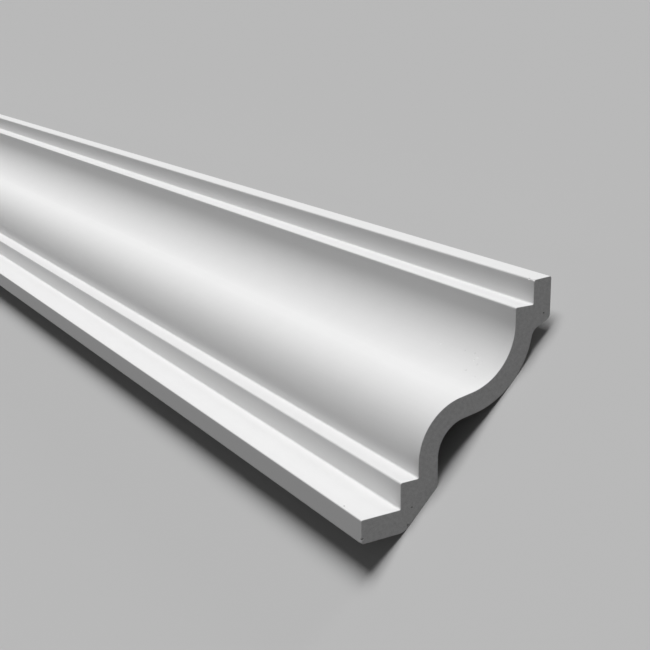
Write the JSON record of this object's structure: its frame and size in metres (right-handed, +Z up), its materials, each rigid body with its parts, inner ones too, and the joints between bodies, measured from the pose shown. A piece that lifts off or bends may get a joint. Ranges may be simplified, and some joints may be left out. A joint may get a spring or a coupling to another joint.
{
  "type": "cornice moulding",
  "caption": "Straight length of thin-walled cornice moulding with a cyma between a stepped lip and a crest fillet, square-cut ends, matte white.",
  "frame": {"origin": "on the floor plane under the middle of the moulding's length and width, as it lies on its back", "axes": "+X along the length; +Z up, away from the floor that the back lies on, so the moulded front looks up; +Y from the lip towards the crest"},
  "size_m": [2, 0.1378, 0.023],
  "materials": {
    "primed_foam": "matte white primer over rigid foam"
  },
  "bodies": {
    "root": {"cornice_moulding": "primed_foam"}
  },
  "joints": []
}
